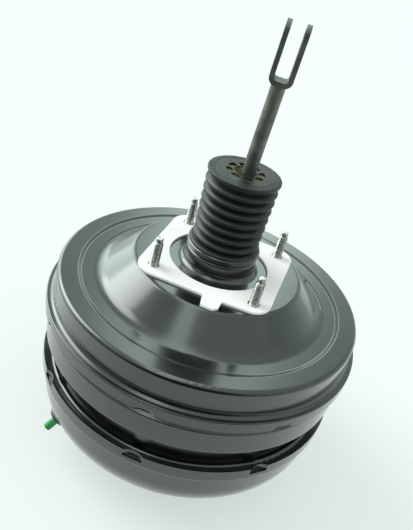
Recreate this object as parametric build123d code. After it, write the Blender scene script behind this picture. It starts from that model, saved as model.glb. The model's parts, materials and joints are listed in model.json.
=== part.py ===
from build123d import *
import math
import os

# Tandem vacuum brake booster, in millimetres.
# The origin is the centre of the firewall mounting face, which is the outer face of the gasket.
# +Z is the booster's axis towards the pedal, X and Y run along the square of firewall studs.
# A size that ends in _z is a place on that axis, and radii are measured from it.

# Pressed steel housing
sheet = 1.6
gasket_thick = 2.0
rim_radius = 140.0
rim_ledge = 6.0
rim_fillet = 1.0
platform_radius = 73.6
platform_fillet = 5.0
cone_share = 0.404
cone_foot_fillet = 14.0
dish_drop = 24.2
crease_share = 0.702
crease_fillet = 2.5
face_drop = 23.0
shoulder_fillet = 3.6
wall_foot_fillet = 4.0
wall_height = 25.4
skirt_height = 9.6
neck_shoulder_z = 11.0
neck_end_z = 21.0
neck_step = 1.6
seal_width = 8.0

# Centre shell and front shell
centre_set_in = 4.0
centre_wall_height = 31.7
recess_depth = 2.8
recess_height = 7.8
recess_slope = 2.6
groove_depth = 10.0
groove_height = 25.8
groove_fillet = 3.4
bead_height = 3.4
collar_set_in = 4.2
collar_lip = 4.3
collar_height = 10.8
bowl_step = 2.6
bowl_set_in = 7.8
bowl_fillet = 38.0
bowl_depth = 50.3
pilot_radius = 23.0
pilot_depth = 14.0
pilot_hole_radius = 10.0
press_fillet = 1.2

# Lances: strips of a skirt pushed in to lock the shells together
lance_count = 8
lance_angle = 7.0
lance_first = -90.0
lance_push = 3.2
lance_clear = 0.2
rear_slot_height = 0.8
front_slot_height = 2.2

# Pressed beads at the foot of the rear shell's cone
dent_set_out = 3.0
dent_section = 4.2
dent_height = 3.6
dents = ((28.0, 24.0), (163.0, 32.0))

# Vacuum port on the front bowl
port_azimuth = -136.0
port_tilt = 47.0
boss_radius = 15.0
boss_taper = 4.0
boss_height = 5.0
port_hole_radius = 7.4
grommet_bore_radius = 3.6
grommet_flange = 2.5
plug_length = 13.0
plug_flange_radius = 5.0
plug_wall = 1.2

# Studs, gasket and backing plates
stud_radius = 4.0
stud_head_radius = 8.0
stud_head_height = 4.0
stud_collar_radius = 5.0
stud_collar_drop = 0.6
stud_tip_radius = 3.0
stud_tip_length = 3.4
stud_tip_flat = 2.4
cylinder_tip_flat = 0.7
stud_groove = 1.1
hole_clearance = 0.3
firewall_pitch = 87.4
firewall_stud_length = 25.6
cylinder_stud_pitch = 80.0
cylinder_stud_length = 28.0
backing_thick = 3.0
backing_side = 104.0
backing_corner = 12.0
backing_hole_gap = 7.4
front_plate_width = 66.0
gasket_side = 115.2
gasket_corner = 17.0
gasket_slant = 3.2
gasket_hole_gap = 13.1
gasket_tab_x = 12.3
gasket_tab_width = 16.6
gasket_tab_reach = 13.6
gasket_tab_slant = 2.8
gasket_tab_cut = 3.8

# Valve body, the sliding control hub
tube_radius = 21.0
tube_end_z = 80.6
tube_bore_radius = 17.5
poppet_shoulder_z = 30.0
poppet_bore_radius = 15.0
moat_z = 8.0
seat_z = 11.95
seat_outer_radius = 12.0
seat_inner_radius = 10.5
head_pocket_z = -7.0
guide_radius = 6.5
hub_flange_z = -20.0
hub_flange_radius = 36.0
hub_flange_thick = 4.0
slide_radius = 24.0
spigot_z = -82.0
spigot_radius = 20.0
spigot_length = 14.0
reaction_radius = 14.0
reaction_depth = 12.0
duct_count = 6
duct_radius = 2.4
duct_circle = 13.5
output_rod_radius = 6.5
running_gap = 0.05
soft_gap = 0.3

# Stop key, filters, reaction disc and output rod
key_thick = 3.0
key_width = 16.0
key_reach = 26.0
key_groove_radius = 4.4
key_below_pocket = 4.5
filter_low_z = 66.0
filter_bore_radius = 10.2
disc_thick = 7.0
rod_head_thick = 4.0
screw_length = 9.0

# Diaphragms, their plates and the partition
piston_stroke = 32.0
rubber = 2.0
plate_thick = 1.5
lip_gap = 4.4
rolling_width = 10.0
ramp_start = 0.28
ramp_end = 0.574
rear_plate_rise = 7.0
rear_plate_dish = 16.0
front_plate_rise = 5.0
seat_gap = 0.02
front_lip_gap = 5.1
front_rolling_width = 8.3
plate_clear = 1.8
rear_plate_lip = 4.2
front_plate_lip = 6.0
partition_gap = 3.5
partition_bead = 2.2
seal_cup_radius = 31.6
seal_cup_depth = 4.4

# Springs
main_coil_radius = 29.0
main_wire = 4.2
main_turns = 6.5
poppet_coil_radius = 10.2
poppet_wire = 0.9
poppet_turns = 4.5
rod_coil_radius = 13.6
rod_coil_top_radius = 8.6
rod_wire = 1.6
rod_turns = 4.5

# Pedal rod, its ball joint and the clevis fork
ball_z = 8.2
ball_radius = 5.2
bush_radius = 6.8
head_radius = 9.0
plunger_travel = 3.0
poppet_gap = 0.55
rod_radius = 5.75
rod_neck_radius = 3.8
rod_lean = 1.8
rod_end_z = 158.5
rod_seat_z = 53.0
fork_turn = 9.6
fork_gap = 11.0
fork_strip = 3.7
fork_width = 15.0
fork_height = 46.5
fork_bend = 2.4
pin_radius = 4.0
pin_below_tip = 8.0

# Rubber boot
boot_top_z = 85.4
boot_disc_edge = 0.4
boot_disc_thick = 4.4
boot_hole_radius = 9.3
boot_wall = 1.6
boot_turns = 7
boot_first_z = 74.0
boot_pitch = 8.1
boot_crest_drop = 0.4
boot_taper = 0.25
boot_fold = 4.0
boot_collar_gap = 0.3
boot_collar_height = 7.4
vent_count = 8
vent_inner = 10.6
vent_outer = 16.0
vent_angle = 30.0

# Radii that follow from the sizes above
wall_radius = rim_radius - rim_ledge
cone_foot_radius = platform_radius + cone_share * (wall_radius - platform_radius)
crease_radius = platform_radius + crease_share * (wall_radius - platform_radius)
dent_radius = cone_foot_radius + dent_set_out
centre_wall_radius = rim_radius - centre_set_in
recess_radius = centre_wall_radius - recess_depth
groove_radius = centre_wall_radius - groove_depth
front_collar_radius = rim_radius - collar_set_in
bowl_corner_radius = front_collar_radius - bowl_set_in
collar_radius = tube_radius + seal_width
neck_radius = collar_radius + neck_step
gasket_hole_radius = neck_radius + gasket_hole_gap
backing_hole_radius = neck_radius + backing_hole_gap
boot_collar_radius = neck_radius
boot_crest_radius = neck_radius - boot_crest_drop
boot_disc_radius = boot_crest_radius + boot_disc_edge
rear_lip_radius = centre_wall_radius - sheet - lip_gap
rear_plate_radius = rear_lip_radius - rolling_width
front_lip_radius = groove_radius - sheet - front_lip_gap
front_plate_radius = front_lip_radius - front_rolling_width
partition_radius = groove_radius - partition_gap

# Places that follow from the sizes above
platform_z = -gasket_thick
dish_z = platform_z - dish_drop
face_z = platform_z - face_drop
rim_z = face_z - wall_height
skirt_end_z = rim_z - skirt_height
rear_bead_z = rim_z - sheet
centre_flange_z = rear_bead_z - bead_height
crease_z = centre_flange_z - sheet - centre_wall_height
groove_end_z = crease_z - groove_height
collar_edge_z = groove_end_z + collar_lip
front_bead_z = groove_end_z - sheet
step_z = collar_edge_z - collar_height
front_z = step_z - bowl_step - bowl_depth
pilot_floor_z = front_z + pilot_depth
reaction_z = spigot_z - spigot_length + reaction_depth
key_z = head_pocket_z - key_below_pocket
screw_low_z = pilot_floor_z + sheet + 0.6
rear_plate_top_z = hub_flange_z - hub_flange_thick - seat_gap
rear_plate_low_z = rear_plate_top_z + rear_plate_rise - rear_plate_dish
partition_z = rear_plate_low_z - rear_plate_lip - piston_stroke - plate_clear
front_plate_top_z = spigot_z - rubber - 2 * seat_gap
boot_collar_z = neck_shoulder_z + neck_step + boot_collar_gap


def corner_arc(a, b, c, radius):
    """Start, middle and end of the round of this radius at corner b."""
    back = (a - b).normalized()
    ahead = (c - b).normalized()
    half = math.radians(back.get_angle(ahead)) / 2
    bisector = (back + ahead).normalized()
    reach = radius / math.tan(half)
    middle = b + bisector * (radius / math.sin(half) - radius)
    return b + back * reach, middle, b + ahead * reach


def rounded_edges(points, closed):
    """Edges along (r, z) or (r, z, round) points, each corner with its own round."""
    corners = [(Vector(p[0], 0, p[1]), p[2] if len(p) > 2 else 0) for p in points]
    count = len(corners)
    edges = []
    first = None
    last = None
    for i, (here, radius) in enumerate(corners):
        inner = closed or 0 < i < count - 1
        if radius and inner:
            before = corners[i - 1][0]
            after = corners[(i + 1) % count][0]
            start, middle, end = corner_arc(before, here, after, radius)
        else:
            start, middle, end = here, None, here
        if last is not None:
            edges.append(Edge.make_line(last, start))
        else:
            first = start
        if middle is not None:
            edges.append(Edge.make_three_point_arc(start, middle, end))
        last = end
    if closed:
        edges.append(Edge.make_line(last, first))
    return edges


def turned(points):
    """Solid of revolution about Z with this closed outline."""
    return revolve(Face(Wire(rounded_edges(points, True))), Axis.Z)


def ring(inner, outer, low, high):
    return turned([(inner, low), (outer, low), (outer, high), (inner, high)])


def offset_points(points, thick):
    """The other face of a sheet that lies to the right of its outline."""
    flat = [Vector(p[0], p[1]) for p in points]
    rounds = [p[2] if len(p) > 2 else 0 for p in points]
    steps = [(b - a).normalized() for a, b in zip(flat, flat[1:])]
    sides = [Vector(s.Y, -s.X) for s in steps]
    moved = []
    for i, here in enumerate(flat):
        if i == 0 or i == len(flat) - 1:
            side = sides[0] if i == 0 else sides[-1]
            moved.append((here + side * thick, 0))
            continue
        one, two = sides[i - 1], sides[i]
        shift = (one + two) * (thick / (1 + one.dot(two)))
        turns_right = steps[i - 1].X * steps[i].Y - steps[i - 1].Y * steps[i].X < 0
        inside = rounds[i] - thick if turns_right else rounds[i] + thick
        moved.append((here + shift, max(inside, 0) if rounds[i] else 0))
    return [(p.X, p.Y, r) for p, r in moved]


def pressed(points, thick=sheet):
    """Sheet metal or rubber skin turned about Z, from the outline of one face."""
    near = rounded_edges(points, False)
    far = rounded_edges(offset_points(points, thick), False)
    joints = [Edge.make_line(near[0] @ 0, far[0] @ 0), Edge.make_line(near[-1] @ 1, far[-1] @ 1)]
    return revolve(Face(Wire(near + far + joints)), Axis.Z)


def around(tool, count, first=0.0):
    """The same tool at equal angles about Z."""
    return [tool.rotate(Axis.Z, first + 360 / count * i) for i in range(count)]


def wedge(angle, reach, low, high):
    """Slice of this angle about the X axis."""
    half = reach * math.tan(math.radians(angle / 2))
    slice_face = Polygon((0, 0), (reach, -half), (reach, half), align=None)
    return extrude(Plane.XY.offset(low) * slice_face, high - low)


def square_places(pitch):
    half = pitch / 2
    return [(x, y) for x in (-half, half) for y in (-half, half)]


def coil(radius, wire, low, high, turns, top_radius=None):
    """Open coil spring between two seats, its wire touching neither."""
    start = low + wire / 2
    height = high - low - wire
    end_radius = top_radius or radius
    cone = math.degrees(math.atan2(end_radius - radius, height))
    path = Edge.make_helix(height / turns, height, radius, (0, 0, start), (0, 0, 1), cone)
    section = Plane(origin=path @ 0, z_dir=path % 0) * Circle(wire / 2)
    return sweep(section, path=path)


def rear_outline():
    """Outer face of the rear shell, from the neck's end to the skirt's edge."""
    return [
        (collar_radius, neck_end_z),
        (collar_radius, neck_shoulder_z + neck_step, neck_step),
        (neck_radius, neck_shoulder_z, neck_step),
        (neck_radius, platform_z, platform_fillet),
        (platform_radius, platform_z, platform_fillet),
        (cone_foot_radius, dish_z, cone_foot_fillet),
        (crease_radius - 2, dish_z, crease_fillet),
        (crease_radius + 1, face_z, crease_fillet),
        (wall_radius, face_z, shoulder_fillet),
        (wall_radius - 0.4, rim_z + 0.4, wall_foot_fillet),
        (rim_radius, rim_z, rim_fillet),
        (rim_radius, skirt_end_z),
    ]


def lance(outer_radius, low, high):
    """Strip of a skirt pushed inwards between its two ends, centred on the X axis."""
    half = math.radians(lance_angle / 2)

    def bow(radius):
        x, y = radius * math.cos(half), radius * math.sin(half)
        return Edge.make_three_point_arc((x, -y, low), (radius - lance_push, 0, low), (x, y, low))

    outer, inner = bow(outer_radius), bow(outer_radius - sheet)
    ends = [Edge.make_line(outer @ t, inner @ t) for t in (0, 1)]
    return extrude(Face(Wire([outer, inner] + ends)), high - low, dir=(0, 0, 1))


def with_lances(shell, outer_radius, cut_low, cut_high, low, high):
    """The shell with its skirt cut at each lance and the pushed strip put back."""
    cut = ring(outer_radius - 1.2 * sheet, outer_radius + sheet, cut_low, cut_high)
    cut &= wedge(lance_angle, 2 * outer_radius, cut_low, cut_high)
    for one in around(cut, lance_count, lance_first):
        shell -= one
    for one in around(lance(outer_radius, low, high), lance_count, lance_first):
        shell += one
    return shell


def bead_arc(section_radius, angle):
    """Round bar bent along the foot of the cone, starting on the X axis."""
    middle_z = dish_z + dent_height
    body = revolve(Plane.XZ * Pos(dent_radius, middle_z) * Circle(section_radius), Axis.Z, angle)
    ball = Pos(dent_radius, 0, middle_z) * Sphere(section_radius)
    return body + ball + ball.rotate(Axis.Z, angle)


def rear_shell():
    outline = rear_outline()
    shell = pressed(outline)
    core = turned([(backing_hole_radius, skirt_end_z), (backing_hole_radius, platform_z)] + outline[4:])
    for middle, angle in dents:
        small = bead_arc(dent_section, angle)
        patch = (bead_arc(dent_section + sheet, angle) - small) & core
        shell -= small.rotate(Axis.Z, middle - angle / 2)
        shell += patch.rotate(Axis.Z, middle - angle / 2)
    for x, y in square_places(firewall_pitch):
        shell -= Pos(x, y, platform_z) * Cylinder(stud_collar_radius + hole_clearance / 2, 6 * sheet)
    top = centre_flange_z - sheet - lance_clear
    return with_lances(shell, rim_radius, skirt_end_z, top + rear_slot_height, skirt_end_z, top)


def centre_outline():
    return [
        (rim_radius - sheet - 0.1, centre_flange_z - sheet),
        (recess_radius, centre_flange_z - sheet, press_fillet),
        (recess_radius, centre_flange_z - sheet - recess_height, press_fillet),
        (centre_wall_radius, centre_flange_z - sheet - recess_height - recess_slope, press_fillet),
        (centre_wall_radius, crease_z, 3.0),
        (groove_radius, crease_z - 2.0, groove_fillet),
        (groove_radius, groove_end_z, groove_fillet),
        (front_collar_radius - sheet - 0.1, groove_end_z),
    ]


def centre_shell():
    return pressed(centre_outline())


def front_outline():
    """Outer face of the front shell, from the collar's edge to the pilot pocket's hole."""
    return [
        (front_collar_radius, collar_edge_z),
        (front_collar_radius, step_z, 1.6),
        (front_collar_radius - bowl_step, step_z - bowl_step, 1.8),
        (bowl_corner_radius, front_z, bowl_fillet),
        (pilot_radius, front_z, 3.0),
        (pilot_radius, pilot_floor_z, 1.8),
        (pilot_hole_radius, pilot_floor_z),
    ]


def port_plane():
    """Plane on the bowl's round at the vacuum port, facing outwards."""
    tilt = math.radians(port_tilt)
    centre_r = bowl_corner_radius - bowl_fillet
    centre_z = front_z + bowl_fillet
    side = Vector(0, 1, 0).rotate(Axis.Z, port_azimuth)
    away = Vector(1, 0, 0).rotate(Axis.Z, port_azimuth)
    out = away * math.cos(tilt) - Vector(0, 0, math.sin(tilt))
    centre = away * centre_r + Vector(0, 0, centre_z)
    return Plane(origin=centre + out * bowl_fillet, x_dir=side, z_dir=out)


def port_solid(points):
    """Turned solid on the vacuum port's axis."""
    return port_plane().location * turned(points)


def front_shell():
    shell = pressed(front_outline())
    top = boss_radius - boss_taper
    sink = 3 * sheet
    boss = port_solid([
        (0, -sink),
        (boss_radius + 2, -sink),
        (boss_radius, 0.5, 2.0),
        (top, boss_height, 1.6),
        (0, boss_height),
    ])
    hollow = port_solid([
        (0, -sink - 4),
        (boss_radius + 1, -sink - 4),
        (boss_radius - sheet, 0.2),
        (top - sheet, boss_height - sheet),
        (0, boss_height - sheet),
    ])
    shell = (shell + boss) - hollow
    shell -= port_solid([(0, -10), (port_hole_radius, -10), (port_hole_radius, 10), (0, 10)])
    for sign in (-1, 1):
        shell -= Pos(0, sign * cylinder_stud_pitch / 2, front_z) * Cylinder(
            stud_collar_radius + hole_clearance / 2, 4 * sheet
        )
    low = groove_end_z + lance_clear
    return with_lances(shell, front_collar_radius, low - front_slot_height, collar_edge_z, low, collar_edge_z)


def port_grommet():
    top = boss_height
    groove = port_hole_radius - 0.1
    return port_solid([
        (grommet_bore_radius, top - sheet - 3.0),
        (groove + 1.6, top - sheet - 2.2, 0.8),
        (groove + 1.6, top - sheet - 0.05, 0.4),
        (groove, top - sheet - 0.05),
        (groove, top + 0.05),
        (port_hole_radius + 2.2, top + 0.05, 0.4),
        (port_hole_radius + 1.6, top + grommet_flange, 1.0),
        (grommet_bore_radius, top + grommet_flange),
    ])


def port_plug():
    """Transit plug: a hollow cap that stands in the grommet."""
    seat = boss_height + grommet_flange + running_gap
    shaft = grommet_bore_radius - running_gap
    plug = port_solid([
        (0, seat - 6.0),
        (shaft - 0.6, seat - 6.0),
        (shaft, seat - 4.5),
        (shaft, seat),
        (plug_flange_radius, seat, 0.4),
        (plug_flange_radius, seat + 1.6, 0.4),
        (shaft, seat + 1.6),
        (shaft, seat + plug_length, 0.6),
        (0, seat + plug_length),
    ])
    bore = port_solid([
        (0, seat + 2.0), (shaft - plug_wall, seat + 2.0), (shaft - plug_wall, seat + plug_length + 1),
        (0, seat + plug_length + 1),
    ])
    return plug - bore


def partition_plate():
    return pressed([
        (slide_radius + 3, partition_z - seal_cup_depth),
        (seal_cup_radius, partition_z - seal_cup_depth, 1.0),
        (seal_cup_radius, partition_z, 1.8),
        (2 * seal_cup_radius - 3, partition_z, 6),
        (2 * seal_cup_radius + 3, partition_z - partition_bead, 6),
        (partition_radius - 26.5, partition_z - partition_bead, 6),
        (partition_radius - 20.5, partition_z, 6),
        (partition_radius, partition_z, 4.0),
        (partition_radius, crease_z + sheet + 1.4, 2.4),
        (centre_wall_radius - sheet - 3.4, crease_z + sheet + 0.9),
    ])


def partition_seal():
    bore = slide_radius + running_gap
    low = partition_z - seal_cup_depth
    return turned([
        (bore + 0.7, low + 0.1),
        (seal_cup_radius - 0.1, low + 0.1, 1.4),
        (seal_cup_radius - 0.1, partition_z),
        (bore + 3.2, partition_z),
        (bore + 2.4, low + 2.6),
        (bore + 1.2, partition_z),
        (bore, partition_z - 0.3),
        (bore, low + 2.0),
    ])


def partition_seal_retainer():
    plate = ring(slide_radius + 2, seal_cup_radius + 7, partition_z + 0.02, partition_z + 1.2)
    dimple = Pos(seal_cup_radius + 3.5, 0, partition_z + 1.6) * Cylinder(1.6, 0.8)
    for one in around(dimple, 6, 15):
        plate += one
    return plate


def boot_profile():
    """Outer outline of the rubber boot from its collar to the crest under the disc."""
    points = [(boot_collar_radius, boot_collar_z), (boot_collar_radius, boot_collar_z + boot_collar_height)]
    for i in range(boot_turns - 1, -1, -1):
        crest_z = boot_first_z - boot_pitch * i
        crest = boot_crest_radius - boot_taper * i
        points.append((crest - boot_fold, crest_z - boot_pitch / 2))
        points.append((crest, crest_z))
    points.append((boot_crest_radius - boot_fold, boot_first_z + boot_pitch / 2))
    return points


def dust_boot():
    outer = boot_profile()
    disc_low = boot_top_z - boot_disc_thick
    inner = [(r - boot_wall, z) for r, z in outer]
    inner[0] = (collar_radius + soft_gap, boot_collar_z)
    inner[1] = (collar_radius + soft_gap, neck_end_z + 0.4)
    top = [
        (boot_disc_radius, disc_low, 0.9),
        (boot_disc_radius, boot_top_z - 1.2, 0.9),
        (boot_disc_radius - 4.6, boot_top_z, 1.5),
        (boot_hole_radius, boot_top_z),
        (boot_hole_radius, disc_low),
        (tube_radius + soft_gap, disc_low),
        (tube_radius + soft_gap, disc_low - 4.5),
        (tube_radius + soft_gap + 1.6, disc_low - 4.5),
        (tube_radius + soft_gap + 1.6, disc_low - 1.4),
    ]
    boot = turned(outer + top + inner[::-1])
    window = ring(vent_inner, vent_outer, disc_low - 1, boot_top_z + 1)
    window &= wedge(vent_angle, 2 * vent_outer, disc_low - 1, boot_top_z + 1)
    for vent in around(window, vent_count, 360 / vent_count / 2):
        boot -= vent
    return boot


def boot_clip_ring():
    low = boot_collar_z + 1.4
    edge = boot_collar_radius
    return turned([
        (edge, low),
        (edge + 0.7, low + 0.5),
        (edge + 0.3, low + 1.2),
        (edge + 0.7, low + 1.9),
        (edge + 0.3, low + 2.6),
        (edge + 0.7, low + 3.3),
        (edge, low + 3.8),
    ])


def stud_solid(head_top_z, shoulder_z, tip_z, tip_flat):
    """One stud along +Z: head, pressed shoulder, shank, relief groove and a point with a small flat."""
    head_low = head_top_z - stud_head_height
    groove_z = tip_z - stud_tip_length
    return turned([
        (0, head_low),
        (stud_head_radius, head_low, 0.8),
        (stud_head_radius, head_top_z),
        (stud_collar_radius, head_top_z),
        (stud_collar_radius, shoulder_z, 0.4),
        (stud_radius, shoulder_z),
        (stud_radius, groove_z - stud_groove - 0.8),
        (stud_tip_radius - 0.4, groove_z - stud_groove),
        (stud_tip_radius - 0.4, groove_z),
        (stud_tip_radius, groove_z),
        (stud_tip_radius, tip_z - (stud_tip_radius - tip_flat)),
        (tip_flat, tip_z),
        (0, tip_z),
    ])


def firewall_studs():
    head_top = platform_z - sheet - backing_thick
    one = stud_solid(head_top, -stud_collar_drop, firewall_stud_length, stud_tip_flat)
    return [one.moved(Location((x, y, 0))) for x, y in square_places(firewall_pitch)]


def master_cylinder_studs():
    head_top = -(front_z + sheet + backing_thick)
    tip_z = cylinder_stud_length - front_z
    one = stud_solid(head_top, -front_z - stud_collar_drop, tip_z, cylinder_tip_flat).rotate(Axis.X, 180)
    return [one.moved(Location((0, sign * cylinder_stud_pitch / 2, 0))) for sign in (-1, 1)]


def plate_with_studs(outline, hole, low, places):
    plate = extrude(Plane.XY.offset(low) * outline, backing_thick)
    plate -= Pos(0, 0, low) * Cylinder(hole, 4 * backing_thick)
    for x, y in places:
        plate -= Pos(x, y, low) * Cylinder(stud_collar_radius + 0.05, 4 * backing_thick)
    return plate


def rear_backing_plate():
    return plate_with_studs(
        RectangleRounded(backing_side, backing_side, backing_corner),
        backing_hole_radius,
        platform_z - sheet - backing_thick,
        square_places(firewall_pitch),
    )


def front_backing_plate():
    length = cylinder_stud_pitch + 2 * stud_head_radius + 6
    return plate_with_studs(
        RectangleRounded(front_plate_width, length, backing_corner),
        pilot_radius + sheet + 2.0,
        front_z + sheet,
        [(0, sign * cylinder_stud_pitch / 2) for sign in (-1, 1)],
    )


def firewall_gasket():
    half = gasket_side / 2
    left = gasket_tab_x - gasket_tab_width / 2
    right = gasket_tab_x + gasket_tab_width / 2
    foot = -half - gasket_tab_reach
    blank = Polygon(
        (-half, half), (-half, -half), (right, -half), (half, gasket_slant - half), (half, half), align=None,
    )
    corners = [v for v in blank.vertices() if abs(v.X) > half - 1]
    blank = fillet(corners, gasket_corner)
    tab = Polygon(
        (left, gasket_tab_cut - half),
        (left, -half),
        (left + gasket_tab_slant, foot),
        (right - gasket_tab_cut, foot),
        (right, foot + gasket_tab_cut),
        (right, gasket_tab_cut - half),
        align=None,
    )
    blank = blank + tab - Circle(gasket_hole_radius)
    for x, y in square_places(firewall_pitch):
        blank -= Pos(x, y) * Circle(stud_collar_radius + hole_clearance / 2)
    return extrude(Plane.XY.offset(-gasket_thick) * blank, gasket_thick)


def neck_seal():
    bore = tube_radius + running_gap
    outer = collar_radius - sheet - 0.05
    low = neck_shoulder_z + 2.2
    high = neck_end_z - 0.6
    return turned([
        (bore + 0.6, low),
        (outer, low),
        (outer, high),
        (bore + 2.8, high),
        (bore + 2.0, low + 3.4),
        (bore + 1.1, high - 0.6),
        (bore, high - 1.0),
        (bore, low + 2.2),
    ])


def neck_guide():
    """Plastic bush under the lip seal, with a flange in the wide part of the neck."""
    bore = tube_radius + running_gap
    outer = neck_radius - sheet - 0.05
    top = neck_shoulder_z - 1.2
    guide = turned([
        (bore, top - 7.0),
        (bore + 2.2, top - 7.0),
        (bore + 2.2, top - 2.4),
        (outer - 2.0, top - 2.4),
        (outer - 2.0, top - 6.0),
        (outer, top - 6.0),
        (outer, top - 1.6),
        (outer - 1.6, top),
        (bore, top),
    ])
    rib = Pos((bore + outer) / 2, 0, top - 4.2) * Box(outer - bore - 2.4, 1.4, 3.8)
    for one in around(rib, 12):
        guide += one
    return guide


def front_seal():
    bore = output_rod_radius + running_gap
    low = pilot_floor_z + sheet
    return turned([
        (bore + 0.5, low + 0.05),
        (bore + 7.0, low + 0.05),
        (bore + 7.0, low + 6.4, 0.8),
        (bore + 2.6, low + 6.4),
        (bore + 1.8, low + 2.6),
        (bore + 1.0, low + 6.0),
        (bore, low + 5.6),
        (bore, low + 1.6),
    ])


def front_seal_retainer():
    seal_outer = output_rod_radius + running_gap + 7.0
    low = pilot_floor_z + sheet
    return turned([
        (seal_outer + 0.05, low + 0.05),
        (seal_outer + 6.0, low + 0.05),
        (seal_outer + 6.0, low + 1.2),
        (seal_outer + 1.2, low + 1.2),
        (seal_outer + 1.2, low + 7.8),
        (seal_outer - 2.4, low + 7.8),
        (seal_outer - 2.4, low + 6.6),
        (seal_outer + 0.05, low + 6.6),
    ])


def valve_body():
    front_z_end = spigot_z - spigot_length
    flange_low = hub_flange_z - hub_flange_thick
    body = turned([
        (tube_bore_radius, tube_end_z, 0),
        (tube_bore_radius, poppet_shoulder_z),
        (poppet_bore_radius, poppet_shoulder_z),
        (poppet_bore_radius, moat_z),
        (seat_outer_radius, moat_z),
        (seat_outer_radius, seat_z, 0.4),
        (seat_inner_radius, seat_z, 0.4),
        (seat_inner_radius, head_pocket_z),
        (guide_radius, head_pocket_z),
        (guide_radius, reaction_z),
        (reaction_radius, reaction_z),
        (reaction_radius, front_z_end),
        (spigot_radius, front_z_end, 0.8),
        (spigot_radius, spigot_z),
        (slide_radius, spigot_z, 0.6),
        (slide_radius, flange_low),
        (hub_flange_radius, flange_low, 1.0),
        (hub_flange_radius, hub_flange_z, 1.0),
        (tube_radius + 1.5, hub_flange_z, 1.2),
        (tube_radius, hub_flange_z + 3.0),
        (tube_radius, tube_end_z, 0.8),
    ])
    rib = Pos((hub_flange_radius + tube_radius) / 2 - 0.5, 0, hub_flange_z + 1.6) * Box(
        hub_flange_radius - tube_radius - 2, 2.0, 4.0
    )
    for one in around(rib, 12, 15):
        body += one
    duct_low = spigot_z + 22
    duct = Pos(duct_circle, 0, (moat_z + duct_low) / 2) * Cylinder(duct_radius, moat_z - duct_low + 0.4)
    for one in around(duct, duct_count, 30):
        body -= one
    outlet = Pos(slide_radius - 4, 0, duct_low + 4) * Box(14, 5, 8)
    for one in around(outlet, duct_count, 30):
        body -= one
    body -= Pos(0, 0, key_z) * Box(4 * tube_radius, key_width + 0.2, key_thick + 0.1)
    return body


def stop_key():
    """Flat fork that limits the plunger's travel, pushed in from the side."""
    slot = key_groove_radius + 0.15
    blank = Rectangle(2 * key_reach, key_width)
    blank -= Pos(key_reach / 2, 0) * Rectangle(key_reach, 2 * slot)
    blank -= Circle(slot)
    blank = fillet(blank.vertices().group_by(Axis.X)[0], 4.0)
    return extrude(Plane.XY.offset(key_z - key_thick / 2) * blank, key_thick)


def air_valve_plunger():
    """Plunger: nose, guide stem, key groove and the head that holds the ball bush."""
    stem = guide_radius - running_gap
    nose_z = reaction_z + plunger_travel + 0.2
    key_low = key_z - key_thick / 2 - 0.15
    key_high = key_z + key_thick / 2 + plunger_travel + 0.15
    top = seat_z + poppet_gap
    head_low = head_pocket_z + plunger_travel + 0.15
    plunger = turned([
        (0, nose_z),
        (stem - 1.0, nose_z),
        (stem, nose_z + 1.0),
        (stem, spigot_z + 34),
        (stem - 1.4, spigot_z + 35),
        (stem - 1.4, key_low - 9),
        (stem, key_low - 8),
        (stem, key_low),
        (key_groove_radius, key_low),
        (key_groove_radius, key_high),
        (stem, key_high),
        (stem, head_low),
        (head_radius, head_low, 0.8),
        (head_radius, top, 0.4),
        (head_radius - 1.2, top, 0.4),
        (head_radius - 2.0, top - 0.9),
        (0, top - 0.9),
    ])
    plunger -= Pos(0, 0, ball_z) * Sphere(bush_radius + running_gap)
    plunger -= Pos(0, 0, ball_z + 5) * Cylinder(bush_radius - 0.9, 10)
    return plunger


def ball_bush():
    """Split spherical bush between the ball and the plunger's socket."""
    bush = Pos(0, 0, ball_z) * Sphere(bush_radius)
    bush -= Pos(0, 0, ball_z) * Sphere(ball_radius + running_gap)
    bush -= Pos(0, 0, ball_z + 10 + 2.6) * Box(30, 30, 20)
    bush -= Pos(0, 0, ball_z - 10 - 4.6) * Box(30, 30, 20)
    bush -= Pos(bush_radius, 0, ball_z) * Box(bush_radius, 1.0, 20)
    return bush


def leaned(solid):
    """The pedal rod's pieces lean together about the ball's centre."""
    return solid.rotate(Axis(origin=(0, 0, ball_z), direction=(0, 1, 0)), rod_lean)


def input_rod():
    neck_low = ball_z + math.sqrt(ball_radius ** 2 - rod_neck_radius ** 2)
    rod = turned([
        (0, neck_low - 0.6),
        (rod_neck_radius, neck_low - 0.6),
        (rod_neck_radius, ball_z + 13, 1.0),
        (rod_radius, ball_z + 18, 2.0),
        (rod_radius, rod_seat_z - 1.6),
        (rod_radius - 0.5, rod_seat_z - 1.6),
        (rod_radius - 0.5, rod_seat_z),
        (rod_radius, rod_seat_z),
        (rod_radius, rod_end_z),
        (0, rod_end_z),
    ])
    rod += Pos(0, 0, ball_z) * Sphere(ball_radius)
    return leaned(rod)


def rod_spring_seat():
    washer = turned([
        (rod_radius - 0.45, rod_seat_z - 1.5),
        (rod_coil_top_radius + 2.2, rod_seat_z - 1.5, 0.4),
        (rod_coil_top_radius + 2.2, rod_seat_z - 0.1, 0.4),
        (rod_radius - 0.45, rod_seat_z - 0.1),
    ])
    slit = Pos(rod_radius + 3, 0, rod_seat_z) * Box(8, 1.2, 8)
    return leaned(washer - slit)


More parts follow.
